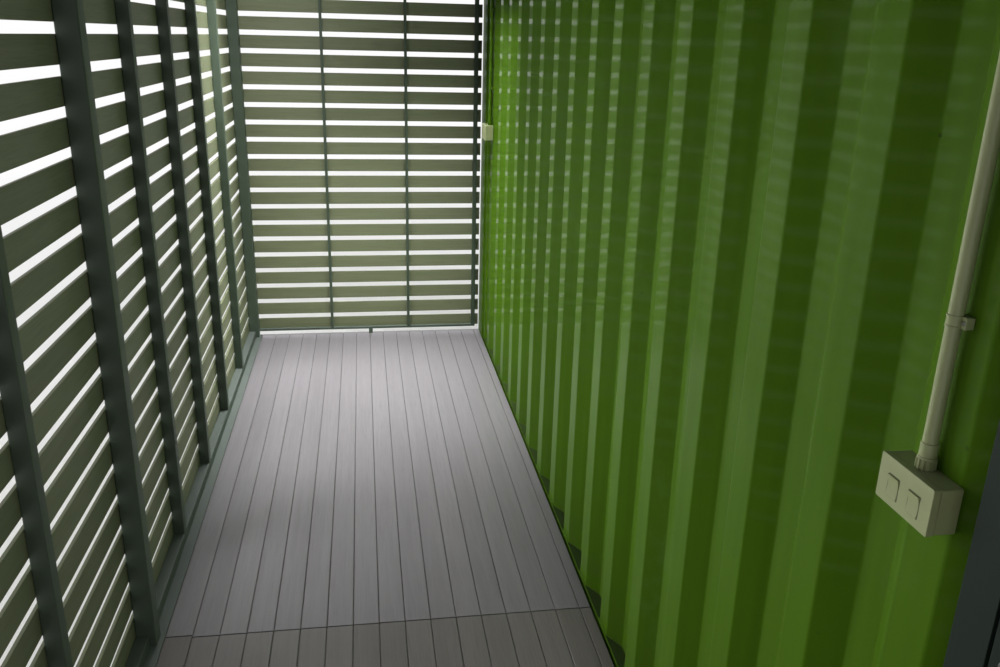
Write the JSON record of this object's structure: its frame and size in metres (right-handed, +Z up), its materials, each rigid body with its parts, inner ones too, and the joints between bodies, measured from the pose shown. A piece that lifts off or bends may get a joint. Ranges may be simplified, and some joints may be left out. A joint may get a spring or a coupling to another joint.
{
  "type": "shipping container cabin with screened side deck",
  "caption": "Steel container cabin with corrugated walls, a glazed side door and a roofed side deck behind slatted screens.",
  "frame": {"origin": "on the ground, at the centre of the whole footprint of container and deck", "axes": "+X from the deck across the container to its back wall, +Y along the container towards the screened end of the deck, +Z up"},
  "size_m": [3.928, 6.058, 2.591],
  "materials": {
    "container_paint": "gloss",
    "underside_paint": "satin",
    "floor_board": "satin",
    "lock_gear": "satin",
    "door_paint": "satin",
    "glass": "clear",
    "handle_metal": "brushed",
    "white_plastic": "satin",
    "deck_steel": "satin",
    "deck_board": "satin",
    "slat": "matte",
    "roof_sheet": "satin"
  },
  "bodies": {
    "cabin": {"corner_castings": "container_paint", "corner_posts": "container_paint", "bottom_side_rails": "container_paint", "bottom_end_sills": "container_paint", "top_rails": "container_paint", "door_header": "container_paint", "roof_panel": "container_paint", "wall_deck_far": "container_paint", "wall_deck_near": "container_paint", "wall_over_door": "container_paint", "wall_back": "container_paint", "wall_end": "container_paint", "cargo_door_left": "container_paint", "cargo_door_right": "container_paint", "socket_conduit": "container_paint", "forklift_pockets": "underside_paint", "cross_members": "underside_paint", "cabin_floor": "floor_board", "lock_rods": "lock_gear", "cargo_door_hinges": "lock_gear", "side_door_frame": "door_paint", "side_door_hinges": "door_paint", "switch_box": "white_plastic", "switch_rockers": "white_plastic", "switch_conduit": "white_plastic", "socket_box": "white_plastic", "deck_beams": "deck_steel", "deck_joists": "deck_steel", "deck_feet": "deck_steel", "main_posts": "deck_steel", "screen_studs": "deck_steel", "screen_rails": "deck_steel", "end_screen_frame": "deck_steel", "roof_beams": "deck_steel", "deck_rafters": "deck_steel", "deck_boards_near": "deck_board", "deck_boards_far": "deck_board", "slats_side_near": "slat", "slats_side_far": "slat", "slats_end": "slat", "deck_roof": "roof_sheet"},
    "side_door": {"side_door_leaf": "door_paint", "side_door_glass": "glass", "side_door_handles": "handle_metal", "side_door_hinge_leaves": "door_paint"}
  },
  "joints": [
    {"name": "side_door_hinge", "type": "hinge", "parent": "cabin", "child": "side_door", "pos_m": [-0.49, -2.5625, 1.2], "axis": [0, 0, 1], "range_deg": [0, 100]}
  ]
}
